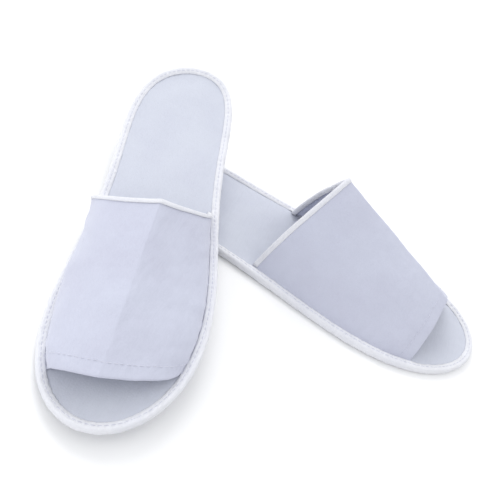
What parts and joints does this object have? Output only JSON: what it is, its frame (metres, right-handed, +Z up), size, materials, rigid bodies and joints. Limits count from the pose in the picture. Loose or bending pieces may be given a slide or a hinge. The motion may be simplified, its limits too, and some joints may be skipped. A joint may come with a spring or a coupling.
{
  "type": "spa slippers",
  "caption": "Pair of thin open-toe, open-back slip-on slippers in bonded cloth; one lies flat and the other leans across its heel.",
  "frame": {"origin": "on the floor, under the middle of the right slipper's sole", "axes": "+Z up; +X from the right slipper's heel to its toe"},
  "size_m": [0.2969, 0.2674, 0.0788],
  "materials": {
    "foam_outsole": "matte closed-cell foam",
    "sponge": "open-cell sponge",
    "insole_cloth": "smooth non-woven cloth",
    "binding_tape": "soft non-woven tape",
    "thread": "spun polyester thread",
    "upper_cloth": "bonded non-woven cloth",
    "lining_cloth": "soft non-woven cloth"
  },
  "bodies": {
    "right_slipper": {"right_outsole": "foam_outsole", "right_sponge": "sponge", "right_insole": "insole_cloth", "right_edge_binding": "binding_tape", "right_edge_binding_stitching": "thread", "right_upper": "upper_cloth", "right_upper_lining": "lining_cloth", "right_throat_binding": "binding_tape", "right_throat_stitching": "thread", "right_toe_hem_stitching": "thread"},
    "left_slipper": {"left_outsole": "foam_outsole", "left_sponge": "sponge", "left_insole": "insole_cloth", "left_edge_binding": "binding_tape", "left_edge_binding_stitching": "thread", "left_upper": "upper_cloth", "left_upper_lining": "lining_cloth", "left_throat_binding": "binding_tape", "left_throat_stitching": "thread", "left_toe_hem_stitching": "thread"}
  },
  "joints": [
    {"name": "left_lift", "type": "slide", "parent": "right_slipper", "child": "left_slipper", "axis": [0, 0, 1], "range_m": [0, 0.2]}
  ]
}
